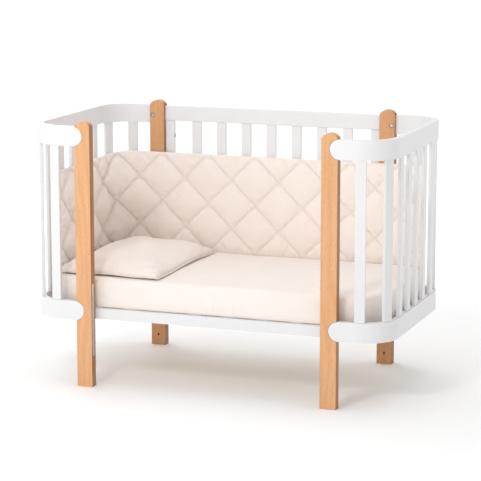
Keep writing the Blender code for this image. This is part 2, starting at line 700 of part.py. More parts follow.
def make_base(paint, beech, steel, level):
    base = add_part("base_frame", base_frame_mesh(), paint, (0, 0, BASE_BOTTOM), parent=level)
    ledge = BASE_RAIL_THICKNESS + BASE_LEDGE_WIDTH
    sleeve = BASE_CLEARANCE - 2 * GAP
    length = sleeve + ledge + 2 * GAP
    profile = bolt_profile(
        length, BASE_SHANK_RADIUS, BASE_HEAD_RADIUS, BASE_HEAD_THICKNESS, (sleeve, SLEEVE_RADIUS))
    holes = bmesh.new()
    for depth_name, depth in DEPTHS:
        for side_name, side in SIDES:
            tip = (side * POST_PLACE_X, depth * (POST_INNER_Y - GAP), BASE_BOLT_HEIGHT)
            name = f"base_bolt_{depth_name}_{side_name}"
            make_bolt(name, profile, tip, (0, -depth, 0), steel, level)
            place = (tip[0], depth * BASE_HALF_Y, BASE_BOLT_HEIGHT)
            through = hole_profile(BASE_SHANK_RADIUS + HOLE_CLEARANCE, ledge + CUTTER_OVERSHOOT)
            add_turned(holes, through, place, (0, -depth, 0))
    cut(base, holes, "base_frame_hole_cutter")

    top = BASE_TOP
    bottom = top - MAT_SLAT_THICKNESS + GAP
    half_slat = BASE_HALF_Y - BASE_RAIL_THICKNESS - MAT_END_CLEARANCE
    outermost = BASE_HALF_X - BASE_CORNER_RADIUS - MAT_SLAT_WIDTH / 2
    pitch = 2 * outermost / (MAT_SLAT_COUNT - 1)
    battens = bmesh.new()
    half_batten = outermost + MAT_SLAT_WIDTH / 2
    for sign in (-1, 1):
        y = sign * MAT_BATTEN_PLACE
        low = (-half_batten, y - MAT_BATTEN_WIDTH / 2, bottom - MAT_BATTEN_THICKNESS)
        high = (half_batten, y + MAT_BATTEN_WIDTH / 2, (top + bottom) / 2)
        add_box(battens, low, high)
    mat = add_part("base_slat_mat", mesh_from(battens, "base_slat_mat"), beech)
    mat.parent = level
    mat.location = -world_place(level)
    slats = bmesh.new()
    for i in range(MAT_SLAT_COUNT):
        x = -outermost + pitch * i
        low = (x - MAT_SLAT_WIDTH / 2, -half_slat, bottom)
        high = (x + MAT_SLAT_WIDTH / 2, half_slat, top)
        add_box(slats, low, high)
    cut(mat, slats, "base_slat_mat_slats", "UNION")


def make_mattress(fabric, lift):
    bm = bmesh.new()
    outline = rounded_outline(MATTRESS_HALF_X, MATTRESS_HALF_Y, MATTRESS_CORNER_RADIUS)
    add_prism(bm, outline, lambda a, b, along: (a, b, along), 0, MATTRESS_THICKNESS)
    bmesh.ops.recalc_face_normals(bm, faces=bm.faces)
    ease_edges(bm, MATTRESS_EDGE_RADIUS, segments=3)
    add_part("mattress", mesh_from(bm, "mattress"), fabric, (0, 0, BASE_TOP + GAP), parent=lift)


def make_bumper(fabric, lift):
    route = bumper_route()
    bottom = MATTRESS_TOP - BUMPER_OVERLAP
    edges = [(place, bottom, bottom + BUMPER_HEIGHT) for place in route.stations]
    bm = bent_plank(route, edges, BUMPER_THICKNESS, BUMPER_EASING, False)
    bumper = add_part("bumper", mesh_from(bm, "bumper"), fabric)
    bumper.parent = lift
    bumper.location = -world_place(lift)


def make_pillow(fabric, lift):
    """A cushion with a flat underside, crowned on top and thin at its edge."""
    across, along = 14, 18
    half_x, half_y = PILLOW_WIDTH / 2, PILLOW_LENGTH / 2
    edge = 0.012
    bm = bmesh.new()
    layers = []
    for crown in (False, True):
        grid = []
        for i in range(across + 1):
            row = []
            for j in range(along + 1):
                u = 2 * i / across - 1
                v = 2 * j / along - 1
                x = half_x * u * (1 - 0.05 * (1 - v * v))
                y = half_y * v * (1 - 0.04 * (1 - u * u))
                swell = ((1 - u ** 4) * (1 - v ** 4)) ** 0.5
                z = edge / 2 + (PILLOW_THICKNESS - edge) * swell + edge / 2 if crown else 0.0
                row.append(bm.verts.new((x, y, z)))
            grid.append(row)
        layers.append(grid)
    for grid in layers:
        for i in range(across):
            for j in range(along):
                bm.faces.new((grid[i][j], grid[i + 1][j], grid[i + 1][j + 1], grid[i][j + 1]))
    rim = [(i, 0) for i in range(across)] + [(across, j) for j in range(along)]
    rim += [(i, along) for i in range(across, 0, -1)] + [(0, j) for j in range(along, 0, -1)]
    for (i, j), (k, m) in zip(rim, rim[1:] + rim[:1]):
        bm.faces.new((layers[0][i][j], layers[0][k][m], layers[1][k][m], layers[1][i][j]))
    place = (*PILLOW_PLACE, MATTRESS_TOP + GAP)
    add_part("pillow", mesh_from(bm, "pillow"), fabric, place, parent=lift)


def main():
    clear_scene()
    beech = make_material("beech_oiled", (0.66, 0.37, 0.17), 0.45)
    paint = make_material("white_lacquer", (0.90, 0.90, 0.90), 0.38)
    mat_wood = make_material("birch_slat", (0.72, 0.55, 0.36), 0.60)
    steel = make_material("zinc_steel", (0.62, 0.62, 0.62), 0.35, 1.0)
    plastic = make_material("guide_plastic", (0.72, 0.70, 0.66), 0.45)
    sheet = make_material("sheet_cotton", (0.90, 0.78, 0.69), 0.85)
    quilt = make_material("quilt_cotton", (0.87, 0.76, 0.68), 0.85)
    case = make_material("pillow_cotton", (0.90, 0.79, 0.70), 0.85)

    make_posts(beech)
    make_guides(plastic)
    make_end_rails(paint)
    make_end_slats(paint)
    make_back_panel(paint)
    make_frame_bolts(steel)

    level = make_empty("base_level", (0, 0, BASE_BOTTOM))
    make_base(paint, mat_wood, steel, level)
    mattress_lift = make_empty("mattress_lift", (0, 0, BASE_TOP), level)
    make_mattress(sheet, mattress_lift)
    bumper_lift = make_empty("bumper_lift", (0, 0, MATTRESS_TOP), level)
    make_bumper(quilt, bumper_lift)
    pillow_lift = make_empty("pillow_lift", (*PILLOW_PLACE, MATTRESS_TOP), mattress_lift)
    make_pillow(case, pillow_lift)


main()
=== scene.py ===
"""The looks of the baby crib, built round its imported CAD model."""

import json
import math

import bmesh
import bpy
import numpy as np
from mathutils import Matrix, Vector

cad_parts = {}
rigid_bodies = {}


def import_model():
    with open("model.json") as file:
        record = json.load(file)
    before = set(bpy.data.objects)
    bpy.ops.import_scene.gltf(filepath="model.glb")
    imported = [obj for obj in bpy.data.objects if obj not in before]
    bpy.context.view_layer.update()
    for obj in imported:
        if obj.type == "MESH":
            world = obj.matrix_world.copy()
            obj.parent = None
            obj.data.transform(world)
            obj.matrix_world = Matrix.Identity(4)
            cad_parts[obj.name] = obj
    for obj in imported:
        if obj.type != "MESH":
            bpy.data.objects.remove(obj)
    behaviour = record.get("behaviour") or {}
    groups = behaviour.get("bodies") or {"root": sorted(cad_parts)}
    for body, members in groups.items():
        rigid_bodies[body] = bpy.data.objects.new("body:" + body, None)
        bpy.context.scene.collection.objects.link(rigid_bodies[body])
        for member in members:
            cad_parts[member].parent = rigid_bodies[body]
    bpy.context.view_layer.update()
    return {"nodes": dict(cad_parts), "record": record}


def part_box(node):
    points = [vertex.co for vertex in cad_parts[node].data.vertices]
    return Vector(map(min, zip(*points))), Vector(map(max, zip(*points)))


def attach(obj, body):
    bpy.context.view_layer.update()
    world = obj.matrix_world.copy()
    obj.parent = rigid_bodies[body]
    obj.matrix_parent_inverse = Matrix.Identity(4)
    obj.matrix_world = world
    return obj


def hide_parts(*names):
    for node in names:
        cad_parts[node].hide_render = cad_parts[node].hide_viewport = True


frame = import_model()
nodes = frame["nodes"]
scene = bpy.context.scene
scene.view_settings.view_transform = "Standard"
for extra in [o for o in scene.objects if o.name in ("Cube", "Light", "Camera")]:
    bpy.data.objects.remove(extra)

# Camera at the photograph's angle
SENSOR_WIDTH = 36
FOCAL_LENGTH = 154.3
CAMERA_PLACE = (2.4189, -6.5845, 1.7806)
CAMERA_TILT = math.radians(79.46)
CAMERA_HEADING = math.radians(20.136)
FARTHEST_SEEN = 100
camera_data = bpy.data.cameras.new("camera")
camera_data.sensor_width = SENSOR_WIDTH
camera_data.lens = FOCAL_LENGTH
camera_data.clip_end = FARTHEST_SEEN
camera = bpy.data.objects.new("camera", camera_data)
scene.collection.objects.link(camera)
camera.location = CAMERA_PLACE
camera.rotation_euler = (CAMERA_TILT, 0, CAMERA_HEADING)
scene.camera = camera


# Light and floor ----------------------------------------------------------------------------

def area_light(name, place, target, size, power):
    data = bpy.data.lights.new(name, "AREA")
    data.shape = "RECTANGLE"
    data.size, data.size_y = size
    data.energy = power
    light = bpy.data.objects.new(name, data)
    scene.collection.objects.link(light)
    light.location = place
    light.rotation_euler = (Vector(target) - Vector(place)).to_track_quat("-Z", "Y").to_euler()


MIDDLE = (0, 0, 0.35)  # of the crib, where every light points
STUDIO_STRENGTH = 0.86
DIM_SIDE = (0.75, -0.65, 0.05)
DIM_TO = 0.62          # brightness of the darkest part of the studio
area_light("key", (-0.35, -3.0, 2.5), MIDDLE, (0.6, 0.5), 25)
area_light("front", (-2.2, -4.2, 1.5), MIDDLE, (2.4, 2.0), 22)
area_light("top", (0, 0.5, 3.5), MIDDLE, (3, 3), 15)
area_light("back", (-2.6, 2.6, 2.4), MIDDLE, (2.4, 2.0), 32)
world = bpy.data.worlds.new("studio")
world.use_nodes = True
world_nodes = world.node_tree.nodes
world_nodes["Background"].inputs["Strength"].default_value = STUDIO_STRENGTH
# The studio is a little darker towards the front right
toward = world_nodes.new("ShaderNodeTexCoord").outputs["Generated"]
dot = world_nodes.new("ShaderNodeVectorMath")
dot.operation = "DOT_PRODUCT"
dot.inputs[1].default_value = Vector(DIM_SIDE).normalized()
world.node_tree.links.new(toward, dot.inputs[0])
dim = world_nodes.new("ShaderNodeMapRange")
dim.interpolation_type = "SMOOTHSTEP"
for socket_name, number in (("From Min", 0.45), ("From Max", 0.95), ("To Min", 1.0), ("To Max", DIM_TO)):
    dim.inputs[socket_name].default_value = number
world.node_tree.links.new(dot.outputs["Value"], dim.inputs["Value"])
world.node_tree.links.new(dim.outputs["Result"], world_nodes["Background"].inputs["Color"])
scene.world = world


# Material helpers ---------------------------------------------------------------------------

class Shader:
    """A Principled material and short ways to add nodes to it."""

    def __init__(self, name, color, roughness, metallic=0.0):
        self.material = bpy.data.materials.new(name)
        self.material.use_nodes = True
        self.tree = self.material.node_tree
        self.bsdf = self.tree.nodes["Principled BSDF"]
        self.bsdf.inputs["Base Color"].default_value = (*color, 1)
        self.bsdf.inputs["Roughness"].default_value = roughness
        self.bsdf.inputs["Metallic"].default_value = metallic
        self.place = self.node("ShaderNodeTexCoord").outputs["Object"]

    def node(self, kind, **settings):
        made = self.tree.nodes.new(kind)
        for key, value in settings.items():
            setattr(made, key, value)
        return made

    def put(self, socket, value):
        if isinstance(value, bpy.types.NodeSocket):
            self.tree.links.new(value, socket)
        else:
            socket.default_value = value

    def math(self, operation, a, b=0.0, c=0.0):
        made = self.node("ShaderNodeMath", operation=operation)
        for socket, value in zip(made.inputs, (a, b, c)):
            self.put(socket, value)
        return made.outputs[0]

    def scaled(self, factors, place=None):
        made = self.node("ShaderNodeVectorMath", operation="MULTIPLY")
        self.put(made.inputs[0], self.place if place is None else place)
        made.inputs[1].default_value = factors
        return made.outputs[0]

    def axes(self, place=None):
        made = self.node("ShaderNodeSeparateXYZ")
        self.put(made.inputs[0], self.place if place is None else place)
        return made.outputs

    def noise(self, factors, detail=2.0, roughness=0.5, distortion=0.0, place=None):
        made = self.node("ShaderNodeTexNoise")
        self.put(made.inputs["Vector"], self.scaled(factors, place))
        made.inputs["Scale"].default_value = 1.0
        made.inputs["Detail"].default_value = detail
        made.inputs["Roughness"].default_value = roughness
        made.inputs["Distortion"].default_value = distortion
        return made.outputs["Fac"]

    def ramp(self, value, low, high, to_low=0.0, to_high=1.0):
        made = self.node("ShaderNodeMapRange", interpolation_type="SMOOTHSTEP")
        limits = (("From Min", low), ("From Max", high), ("To Min", to_low), ("To Max", to_high))
        for name, number in limits:
            made.inputs[name].default_value = number
        self.put(made.inputs["Value"], value)
        return made.outputs["Result"]

    def mix(self, factor, a, b, blend="MIX"):
        made = self.node("ShaderNodeMix", data_type="RGBA", blend_type=blend)
        self.put(made.inputs["Factor"], factor)
        for socket, value in ((made.inputs[6], a), (made.inputs[7], b)):
            self.put(socket, value if isinstance(value, bpy.types.NodeSocket) else (*value, 1))
        return made.outputs[2]

    def color(self, value):
        self.put(self.bsdf.inputs["Base Color"], value)

    def roughness(self, value):
        self.put(self.bsdf.inputs["Roughness"], value)

    def bump(self, height, distance, strength=1.0):
        made = self.node("ShaderNodeBump")
        made.inputs["Strength"].default_value = strength
        made.inputs["Distance"].default_value = distance
        self.put(made.inputs["Height"], height)
        self.put(self.bsdf.inputs["Normal"], made.outputs["Normal"])


def beech_material(name, joints):
    """Oiled beech with its grain along Z. joints is (tip X, heights, radius, face Y) of the tongue pockets."""
    m = Shader(name, (0.80, 0.43, 0.19), 0.45)
    x, y, z = m.axes()
    sweep = m.noise((9, 9, 1.3), detail=3)
    rings = m.math("SINE", m.math("MULTIPLY_ADD", sweep, 46.0, m.math("MULTIPLY", x, 260.0)))
    rings = m.ramp(rings, -1.0, 1.0)
    fibres = m.noise((520, 520, 9), detail=3, roughness=0.6)
    pores = m.ramp(m.noise((900, 900, 95), detail=1), 0.60, 0.70)
    broad = m.ramp(m.noise((14, 14, 2.2), detail=2), 0.35, 0.68)
    tone = m.mix(broad, (0.77, 0.41, 0.195), (0.70, 0.355, 0.155))
    tone = m.mix(m.math("MULTIPLY", rings, 0.50), tone, (0.66, 0.32, 0.130))
    tone = m.mix(m.ramp(fibres, 0.35, 0.75, 0.0, 0.38), tone, (0.83, 0.49, 0.27))
    tone = m.mix(m.math("MULTIPLY", pores, 0.45), tone, (0.42, 0.18, 0.07))
    tip, heights, radius, face = joints
    # A painted shadow line round each tongue pocket, where the rail's tongue meets the post
    shade = None
    from_tip = m.math("SUBTRACT", m.math("ABSOLUTE", x), tip + radius)
    inward = m.math("MINIMUM", from_tip, 0.0)
    for height in heights:
        up = m.math("SUBTRACT", z, height)
        reach = m.math("SQRT", m.math("ADD", m.math("POWER", m.math("ABSOLUTE", inward), 2.0),
                                      m.math("MULTIPLY", up, up)))
        away = m.math("ABSOLUTE", m.math("SUBTRACT", reach, radius))
        line = m.ramp(away, 0.0004, 0.0020, 1.0, 0.0)
        shade = line if shade is None else m.math("MAXIMUM", shade, line)
    outside = m.ramp(m.math("ABSOLUTE", y), face - 0.006, face - 0.002)
    shade = m.math("MULTIPLY", m.math("MULTIPLY", shade, outside), 0.80)
    tone = m.mix(shade, tone, (0.16, 0.07, 0.03))
    # Painted shade: the boards' narrow sides, turned along X, are darkened, and the back boards are darkened a
    # little
    sideways = m.math("ABSOLUTE", m.axes(m.node("ShaderNodeTexCoord").outputs["Normal"])[0])
    tone = m.mix(m.ramp(sideways, 0.55, 0.90, 0.0, 1.0), tone, (0.50, 0.43, 0.36), "MULTIPLY")
    tone = m.mix(m.ramp(y, -0.05, 0.05, 0.0, 1.0), tone, (0.88, 0.86, 0.83), "MULTIPLY")
    m.color(tone)
    m.roughness(m.ramp(fibres, 0.2, 0.8, 0.40, 0.56))
    m.bump(m.math("ADD", fibres, m.math("MULTIPLY", pores, -0.8)), 0.00025, 0.5)
    return m.material


def lacquer_material(name, along):
    """White satin lacquer over wood, its faint grain stretched by the factors in along."""
    m = Shader(name, (0.83, 0.83, 0.835), 0.36)
    grain = m.noise(along, detail=3, roughness=0.6)
    peel = m.noise((420, 420, 420), detail=2)
    cloud = m.noise((7, 7, 7), detail=2)
    tone = m.mix(m.ramp(cloud, 0.3, 0.7), (0.785, 0.785, 0.79), (0.77, 0.77, 0.777))
    tone = m.mix(m.ramp(grain, 0.45, 0.75, 0.0, 0.25), tone, (0.74, 0.74, 0.745))
    m.color(tone)
    m.roughness(m.ramp(peel, 0.3, 0.7, 0.30, 0.42))
    m.bump(m.math("ADD", grain, m.math("MULTIPLY", peel, 0.6)), 0.00012, 0.5)
    return m.material


def slat_wood_material(name):
    m = Shader(name, (0.72, 0.55, 0.36), 0.6)
    grain = m.noise((160, 9, 160), detail=4, roughness=0.6, distortion=0.4)
    tone = m.mix(m.ramp(grain, 0.35, 0.7), (0.76, 0.60, 0.40), (0.60, 0.42, 0.25))
    m.color(tone)
    m.roughness(m.ramp(grain, 0.3, 0.7, 0.5, 0.68))
    m.bump(grain, 0.0003, 0.5)
    return m.material


def steel_material(name):
    m = Shader(name, (0.60, 0.60, 0.61), 0.32, 1.0)
    spots = m.noise((1500, 1500, 1500), detail=3)
    tone = m.mix(m.ramp(spots, 0.35, 0.7), (0.66, 0.66, 0.67), (0.46, 0.46, 0.48))
    m.color(tone)
    m.roughness(m.ramp(spots, 0.3, 0.7, 0.24, 0.42))
    m.bump(spots, 0.0001, 0.4)
    return m.material


def guide_material(name):
    m = Shader(name, (0.74, 0.72, 0.69), 0.42)
    haze = m.noise((260, 260, 60), detail=3)
    tone = m.mix(m.ramp(haze, 0.3, 0.7), (0.78, 0.76, 0.73), (0.66, 0.63, 0.59))
    m.color(tone)
    m.roughness(m.ramp(haze, 0.3, 0.7, 0.35, 0.5))
    m.bump(haze, 0.0002, 0.4)
    return m.material


THREAD_PITCH = 0.0007


def cotton_material(name, color, shade):
    """Woven cotton; the threads run along the object's axes."""
    m = Shader(name, color, 0.85)
    wave = 2 * math.pi / THREAD_PITCH
    weave = None
    for axis in m.axes():
        ridge = m.math("SINE", m.math("MULTIPLY", axis, wave))
        weave = ridge if weave is None else m.math("ADD", weave, ridge)
    slubs = m.noise((900, 900, 70), detail=2)
    cross = m.noise((70, 900, 900), detail=2)
    cloud = m.noise((11, 11, 11), detail=3)
    tone = m.mix(m.ramp(cloud, 0.3, 0.7), color, shade)
    threads = m.ramp(m.math("ADD", slubs, cross), 0.85, 1.25, 0.0, 0.20)
    tone = m.mix(threads, tone, tuple(0.88 * c for c in color))
    m.color(tone)
    m.roughness(m.ramp(cloud, 0.3, 0.7, 0.80, 0.90))
    m.bump(m.math("ADD", m.math("MULTIPLY", weave, 0.3), m.math("ADD", slubs, cross)), 0.00018, 0.6)
    m.bsdf.inputs["Sheen Weight"].default_value = 0.25
    m.bsdf.inputs["Sheen Roughness"].default_value = 0.5
    return m.material


# Materials of the CAD nodes -----------------------------------------------------------------

rail_low, rail_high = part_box("upper_rail_right")
lower_low, lower_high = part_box("lower_rail_right")
tongue_radius = (rail_high.z - rail_low.z) / 2
tongue_heights = [(rail_high.z + rail_low.z) / 2, (lower_high.z + lower_low.z) / 2]
beech = beech_material("beech_oiled", (rail_low.x, tongue_heights, tongue_radius, rail_high.y))
lacquer_upright = lacquer_material("white_lacquer_upright", (260, 260, 7))
lacquer_level = lacquer_material("white_lacquer_level", (7, 14, 260))
plain = {
    "beech": beech,
    "zinc_steel": steel_material("zinc_steel"),
    "guide_plastic": guide_material("guide_plastic"),
    "slat_wood": slat_wood_material("slat_wood"),
}
for row in frame["record"]["subparts"]:
    node, slot = row["node"], row["material_slot"]
    if slot == "white_lacquer":
        look = lacquer_upright if "slat" in node or "stile" in node else lacquer_level
    else:
        look = plain.get(slot)
    if look is None:
        continue
    mesh = nodes[node].data
    for i in range(len(mesh.materials)):
        mesh.materials[i] = look

# Floor, with a painted glow that grows away from the crib so that it stays as pale as the backdrop
FLOOR_HALF = 40
PALE_FROM, PALE_TO = 1.1, 3.2    # distances from the crib's middle
GLOW_NEAR, GLOW_FAR = 0.04, 0.28
floor_shader = Shader("floor", (0.93, 0.93, 0.93), 0.9)
patches = floor_shader.noise((3, 3, 3))
floor_shader.color(floor_shader.mix(patches, (0.93, 0.93, 0.93), (0.925, 0.925, 0.925)))
floor_shader.bsdf.inputs["Specular IOR Level"].default_value = 0.1
floor_x, floor_y, _ = floor_shader.axes()
reach = floor_shader.math("SQRT", floor_shader.math("ADD", floor_shader.math("MULTIPLY", floor_x, floor_x),
                                                    floor_shader.math("MULTIPLY", floor_y, floor_y)))
floor_shader.bsdf.inputs["Emission Color"].default_value = (1, 1, 1, 1)
glow = floor_shader.ramp(reach, PALE_FROM, PALE_TO, GLOW_NEAR, GLOW_FAR)
floor_shader.put(floor_shader.bsdf.inputs["Emission Strength"], glow)
floor_mesh = bpy.data.meshes.new("floor")
corners = [(x * FLOOR_HALF, y * FLOOR_HALF, 0) for x, y in ((-1, -1), (1, -1), (1, 1), (-1, 1))]
floor_mesh.from_pydata(corners, [], [(0, 1, 2, 3)])
floor_mesh.materials.append(floor_shader.material)
floor = bpy.data.objects.new("floor", floor_mesh)
scene.collection.objects.link(floor)


# Soft goods ---------------------------------------------------------------------------------

def new_object(name, points, faces, material):
    mesh = bpy.data.meshes.new(name)
    mesh.from_pydata([tuple(p) for p in points], [], [tuple(f) for f in faces])
    mesh.update()
    mesh.shade_smooth()
    mesh.materials.append(material)
    obj = bpy.data.objects.new(name, mesh)
    scene.collection.objects.link(obj)
    return obj


def points_of(obj):
    co = np.zeros(len(obj.data.vertices) * 3)
    obj.data.vertices.foreach_get("co", co)
    return co.reshape(-1, 3)


def set_points(obj, points):
    obj.data.vertices.foreach_set("co", np.asarray(points, float).ravel())
    obj.data.update()


def grid_quads(index):
    """The four-cornered faces of a grid of vertex indices."""
    corners = [index[:-1, :-1], index[1:, :-1], index[1:, 1:], index[:-1, 1:]]
    return np.stack(corners, -1).reshape(-1, 4)


def rim_order(index):
    """Indices round the edge of a grid, in order."""
    return list(index[:, 0]) + list(index[-1, 1:]) + list(index[-2::-1, -1]) + list(index[0, -2:0:-1])


def smoothstep(value, low, high):
    t = np.clip((value - low) / (high - low), 0, 1)
    return t * t * (3 - 2 * t)


def run_cloth(obj, pinned, frames, pressure, stretch, stiffness=15.0, bending=0.5):
    """Inflates obj as cloth and returns its points; pinned is a weight per vertex."""
    group = obj.vertex_groups.new(name="pin")
    for i in np.nonzero(pinned > 0)[0]:
        group.add([int(i)], float(pinned[i]), "ADD")
    modifier = obj.modifiers.new("cloth", "CLOTH")
    cloth = modifier.settings
    cloth.vertex_group_mass = "pin"
    cloth.quality = 5
    cloth.mass = 0.3
    cloth.tension_stiffness = stiffness
    cloth.compression_stiffness = stiffness
    cloth.shear_stiffness = 5
    cloth.bending_stiffness = bending
    cloth.shrink_min = -stretch
    cloth.use_pressure = True
    cloth.uniform_pressure_force = pressure
    cloth.effector_weights.gravity = 0
    modifier.collision_settings.use_collision = False
    modifier.point_cache.frame_start = 1
    modifier.point_cache.frame_end = frames
    for step in range(1, frames + 1):
        scene.frame_set(step)
    graph = bpy.context.evaluated_depsgraph_get()
    result = obj.evaluated_get(graph)
    co = np.zeros(len(result.data.vertices) * 3)
    result.data.vertices.foreach_get("co", co)
    obj.modifiers.remove(modifier)
    obj.vertex_groups.remove(group)
    scene.frame_set(1)
    return co.reshape(-1, 3)


# Bumper: one long quilted pad, sewn in diamonds, inflated flat and then bent round the corners
bumper_low, bumper_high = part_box("bumper")
PAD_THICKNESS = 0.016
CORNER_OUTER = 0.086   # radius of its outer face at a corner
HALF_PITCH = 0.09      # half a diamond's width along the pad
HALF_ROWS = 4          # half diamonds from its bottom to its top
FIRST_COLUMN = 0.033   # from its front edge to the first crossing of seams
LAST_COLUMN = 18.07    # its far end, in half diamonds from there
STEPS = 20             # mesh steps to half a diamond
GROOVE_WIDTH = 0.0045  # of the dip at a seam, to each side
BUNCH_AT = 0.445       # inside the left corner, along the pad
BOTTOM_TUCK = 0.009    # how far the bottom edge reaches down beside the mattress


def bumper_path(along):
    """Position and inward normal of the pad's middle line at a distance from its front edge."""
    middle_x = -bumper_low.x - PAD_THICKNESS / 2
    middle_y = bumper_high.y - PAD_THICKNESS / 2
    radius = CORNER_OUTER - PAD_THICKNESS / 2
    side = bumper_high.y - CORNER_OUTER - bumper_low.y
    quarter = radius * math.pi / 2
    back = 2 * (middle_x - radius)
    turn = np.clip((along - side) / radius, 0, math.pi / 2)
    past = np.clip(along - side - quarter, 0, back)
    turn_end = np.clip((along - side - quarter - back) / radius, 0, math.pi / 2)
    x = radius * (1 - np.cos(turn)) - middle_x + past + radius * np.sin(turn_end)
    y = np.minimum(bumper_low.y + along, middle_y - radius)
    y = y + radius * np.sin(turn) - radius * (1 - np.cos(turn_end))
    heading = math.pi / 2 - turn - turn_end
    return x, y, np.sin(heading), -np.cos(heading)


def make_bumper():
    rows = HALF_ROWS * STEPS
    pitch_z = (bumper_high.z - bumper_low.z) / HALF_ROWS
    first, last = -int(STEPS / 3), int(LAST_COLUMN * STEPS)
    i, j = np.meshgrid(np.arange(first, last + 1), np.arange(rows + 1), indexing="ij")
    columns = last - first + 1
    flat = np.stack([i * HALF_PITCH / STEPS, j * pitch_z / STEPS, np.zeros_like(i, float)], -1)
    flat = flat.reshape(-1, 3)
    on_edge = (i == first) | (i == last) | (j == 0) | (j == rows)
    index = np.arange(columns * (rows + 1)).reshape(columns, rows + 1)
    quads = grid_quads(index)
    # Distance to the nearest seam, 0 on it and 1 in the middle of a diamond
    u, v = (i + j) / STEPS, (i - j) / STEPS
    to_u = 1 - np.abs((u + 1) % 2 - 1)
    to_v = 1 - np.abs((v + 1) % 2 - 1)
    on_seam = (to_u < 1e-6) | (to_v < 1e-6)
    puff = np.sqrt(to_u * (2 - to_u) * to_v * (2 - to_v)).ravel()
    sway = np.zeros((puff.size, 2))
    pad = new_object("bumper_flat", flat, quads, quilt)
    settled = run_cloth(pad, (on_seam | on_edge).ravel().astype(float), 20, 4.0, stretch=0.04)
    bpy.data.objects.remove(pad)
    lift = settled[:, 2] - flat[:, 2]
    puff = lift / np.percentile(lift, 98)
    sway = settled[:, :2] - flat[:, :2]
    seam = np.minimum(to_u, to_v).ravel() * HALF_PITCH
    along = flat[:, 0] + FIRST_COLUMN + sway[:, 0]
    height = bumper_low.z + flat[:, 1] + sway[:, 1]
    # The left end sags a little, except at its bottom
    droop = 0.013 * (1 - smoothstep(along, 0.40, 0.56))
    droop = droop * smoothstep(height, bumper_low.z, bumper_low.z + 0.05)
    height = height - droop - BOTTOM_TUCK * (1 - smoothstep(flat[:, 1], 0.0, 0.012))
    edge = np.minimum(np.minimum(i - first, last - i), np.minimum(j, rows - j)).ravel()
    edge = edge / STEPS * HALF_PITCH
    rim = np.sqrt(np.clip(edge / 0.004, 0, 1))
    x, y, nx, ny = bumper_path(along)
    groove = 1 - np.exp(-(seam / GROOVE_WIDTH) ** 2)
    soft = np.clip(puff, 0, 1.25) ** 0.85
    # The pad bunches where it turns the corner, and is looser along the left end
    bunch = 1 + 1.1 * np.exp(-((along - BUNCH_AT) / 0.085) ** 2)
    bunch = bunch + 0.45 * (1 - smoothstep(along, 0.30, 0.50))
    puckers = 0.0005 * np.sin(flat[:, 0] * 540 + flat[:, 1] * 230) * np.exp(-seam / 0.010) * groove
    # The inner face is full, and the outer one lies nearly flat against the slats
    sides = []
    for sign, least, ridge, most in ((1, 0.0018, 0.0034, 0.0112), (-1, 0.0012, 0.0028, 0.0030)):
        fullness = bunch if sign > 0 else 1
        depth = sign * (rim * (least + ridge * groove + puckers) + most * soft * fullness)
        sides.append(np.stack([x + nx * depth, y + ny * depth, height], -1))
    points = np.concatenate(sides)
    count = len(along)
    faces = [tuple(q[::-1]) for q in quads] + [tuple(q + count) for q in quads]
    border = rim_order(index)
    faces += [(a, b, b + count, a + count) for a, b in zip(border, border[1:] + border[:1])]
    made = new_object("bumper_quilted", points, faces, quilt)
    bm = bmesh.new()
    bm.from_mesh(made.data)
    bmesh.ops.recalc_face_normals(bm, faces=bm.faces)
    bm.to_mesh(made.data)
    bm.free()
    return made


quilt = cotton_material("quilt_cotton", (0.93, 0.84, 0.78), (0.915, 0.82, 0.76))
bumper = make_bumper()
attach(bumper, "bumper")
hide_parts("bumper")


# Mattress: a soft block in a fitted sheet, creased where the sheet is pulled round it
mattress_low, mattress_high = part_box("mattress")
HEM_RADIUS = 0.016  # of the mattress's lower edge, which the sheet bridges
SIDE_BULGE = 0.0022


def creases(co):
    """Height of the sheet's creases at points of the mattress's surface."""
    x, y, z = co.T
    middle = (mattress_low.z + mattress_high.z) / 2
    front = smoothstep(-y, 0.285, 0.2945)
    total = np.zeros(len(co))
    # A fan of steep creases in the middle of the front face
    for at, lean, width, height in ((-0.055, 0.25, 0.0060, 0.0016), (-0.020, 0.16, 0.0052, 0.0022),
                                    (0.012, 0.22, 0.0060, 0.0028), (0.046, 0.30, 0.0055, 0.0025),
                                    (0.078, 0.20, 0.0065, 0.0030), (0.112, 0.34, 0.0060, 0.0024),
                                    (0.150, 0.42, 0.0080, 0.0016)):
        across = x - at - lean * (middle - z) - 0.006 * np.sin(z * 90 + at * 300)
        fade = smoothstep(mattress_high.z - 0.020 - z, 0.0, 0.055)
        total += height * front * fade * np.exp(-(across / width) ** 2)
    # A few long slanted folds towards the left corner of the front
    for at, lean, width, height in ((-0.375, -1.25, 0.0100, 0.0022), (-0.335, -1.5, 0.0080, 0.0016),
                                    (-0.240, -1.9, 0.0110, 0.0013)):
        across = (x - at - lean * (z - middle)) / math.hypot(1, lean)
        fade = smoothstep(z, mattress_low.z + 0.006, mattress_low.z + 0.04)
        fade = fade * smoothstep(mattress_high.z - 0.006 - z, 0.0, 0.03)
        total += height * front * fade * np.exp(-(across / width) ** 2)
    # Soft pulls across the rounded right end
    end = smoothstep(x, 0.50, 0.56) * smoothstep(mattress_high.z - 0.012 - z, 0.0, 0.03)
    total += 0.0010 * end * np.sin(x * 95 - y * 130 + z * 60)
    # Slow unevenness of the top
    top = smoothstep(z, mattress_high.z - 0.010, mattress_high.z - 0.002)
    total += 0.0008 * top * (np.sin(x * 13 + 1.3) * np.sin(y * 17 + 0.4) + 0.6 * np.sin(x * 29 + y * 21))
    return total


